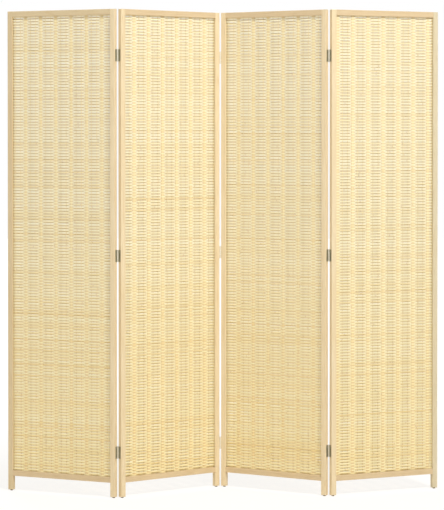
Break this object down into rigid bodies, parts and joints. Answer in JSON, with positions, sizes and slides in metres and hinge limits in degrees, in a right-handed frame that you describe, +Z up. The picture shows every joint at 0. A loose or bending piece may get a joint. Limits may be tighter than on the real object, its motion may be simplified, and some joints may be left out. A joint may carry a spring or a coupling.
{
  "type": "folding screen",
  "caption": "Free-standing zigzag folding screen: light wood frames filled with woven split bamboo, hinged edge to edge so that it folds flat.",
  "frame": {"origin": "on the floor, below the middle of the box round the screen as it stands in its zigzag", "axes": "+Z up the panels, +X along the row of panels from left to right seen from the front, +Y from front to back"},
  "size_m": [1.6186, 0.285, 1.8],
  "materials": {
    "pine_frame": "clear satin lacquer",
    "pine_beads": "clear satin lacquer",
    "dowel_wood": "plain, unseen",
    "bamboo_slivers": "split bamboo, pale, faintly waxy",
    "bamboo_warps": "split bamboo, pale",
    "hinge_steel": "nickel plated, slightly dulled",
    "pin_steel": "nickel plated",
    "screw_steel": "zinc plated",
    "brad_steel": "plain bright steel",
    "glide_plastic": "dark brown plastic"
  },
  "bodies": {
    "panel_1": {"panel_1_left_stile": "pine_frame", "panel_1_right_stile": "pine_frame", "panel_1_top_rail": "pine_frame", "panel_1_bottom_rail": "pine_frame", "panel_1_dowels": "dowel_wood", "panel_1_woven_mat": "bamboo_slivers", "panel_1_warp_sticks": "bamboo_warps", "panel_1_mat_beads": "pine_beads", "panel_1_bead_brads": "brad_steel", "panel_1_glides": "glide_plastic", "hinge_line_1_left_leaves": "hinge_steel", "hinge_line_1_pins": "pin_steel", "hinge_line_1_left_screws": "screw_steel"},
    "panel_2": {"panel_2_left_stile": "pine_frame", "panel_2_right_stile": "pine_frame", "panel_2_top_rail": "pine_frame", "panel_2_bottom_rail": "pine_frame", "panel_2_dowels": "dowel_wood", "panel_2_woven_mat": "bamboo_slivers", "panel_2_warp_sticks": "bamboo_warps", "panel_2_mat_beads": "pine_beads", "panel_2_bead_brads": "brad_steel", "panel_2_glides": "glide_plastic", "hinge_line_1_right_leaves": "hinge_steel", "hinge_line_1_right_screws": "screw_steel", "hinge_line_2_left_leaves": "hinge_steel", "hinge_line_2_pins": "pin_steel", "hinge_line_2_left_screws": "screw_steel"},
    "panel_3": {"panel_3_left_stile": "pine_frame", "panel_3_right_stile": "pine_frame", "panel_3_top_rail": "pine_frame", "panel_3_bottom_rail": "pine_frame", "panel_3_dowels": "dowel_wood", "panel_3_woven_mat": "bamboo_slivers", "panel_3_warp_sticks": "bamboo_warps", "panel_3_mat_beads": "pine_beads", "panel_3_bead_brads": "brad_steel", "panel_3_glides": "glide_plastic", "hinge_line_2_right_leaves": "hinge_steel", "hinge_line_2_right_screws": "screw_steel", "hinge_line_3_left_leaves": "hinge_steel", "hinge_line_3_pins": "pin_steel", "hinge_line_3_left_screws": "screw_steel"},
    "panel_4": {"panel_4_left_stile": "pine_frame", "panel_4_right_stile": "pine_frame", "panel_4_top_rail": "pine_frame", "panel_4_bottom_rail": "pine_frame", "panel_4_dowels": "dowel_wood", "panel_4_woven_mat": "bamboo_slivers", "panel_4_warp_sticks": "bamboo_warps", "panel_4_mat_beads": "pine_beads", "panel_4_bead_brads": "brad_steel", "panel_4_glides": "glide_plastic", "hinge_line_3_right_leaves": "hinge_steel", "hinge_line_3_right_screws": "screw_steel"}
  },
  "joints": [
    {"name": "fold_1", "type": "hinge", "parent": "panel_2", "child": "panel_1", "pos_m": [-0.38889, -0.12631, 0.892], "axis": [0, 0, 1], "range_deg": [-119.5, 60.5]},
    {"name": "fold_2", "type": "hinge", "parent": "panel_2", "child": "panel_3", "pos_m": [-0.0115, 0.1276, 0.892], "axis": [0, 0, 1], "range_deg": [-113, 67]},
    {"name": "fold_3", "type": "hinge", "parent": "panel_3", "child": "panel_4", "pos_m": [0.39037, -0.08547, 0.892], "axis": [0, 0, 1], "range_deg": [-55, 125]}
  ]
}
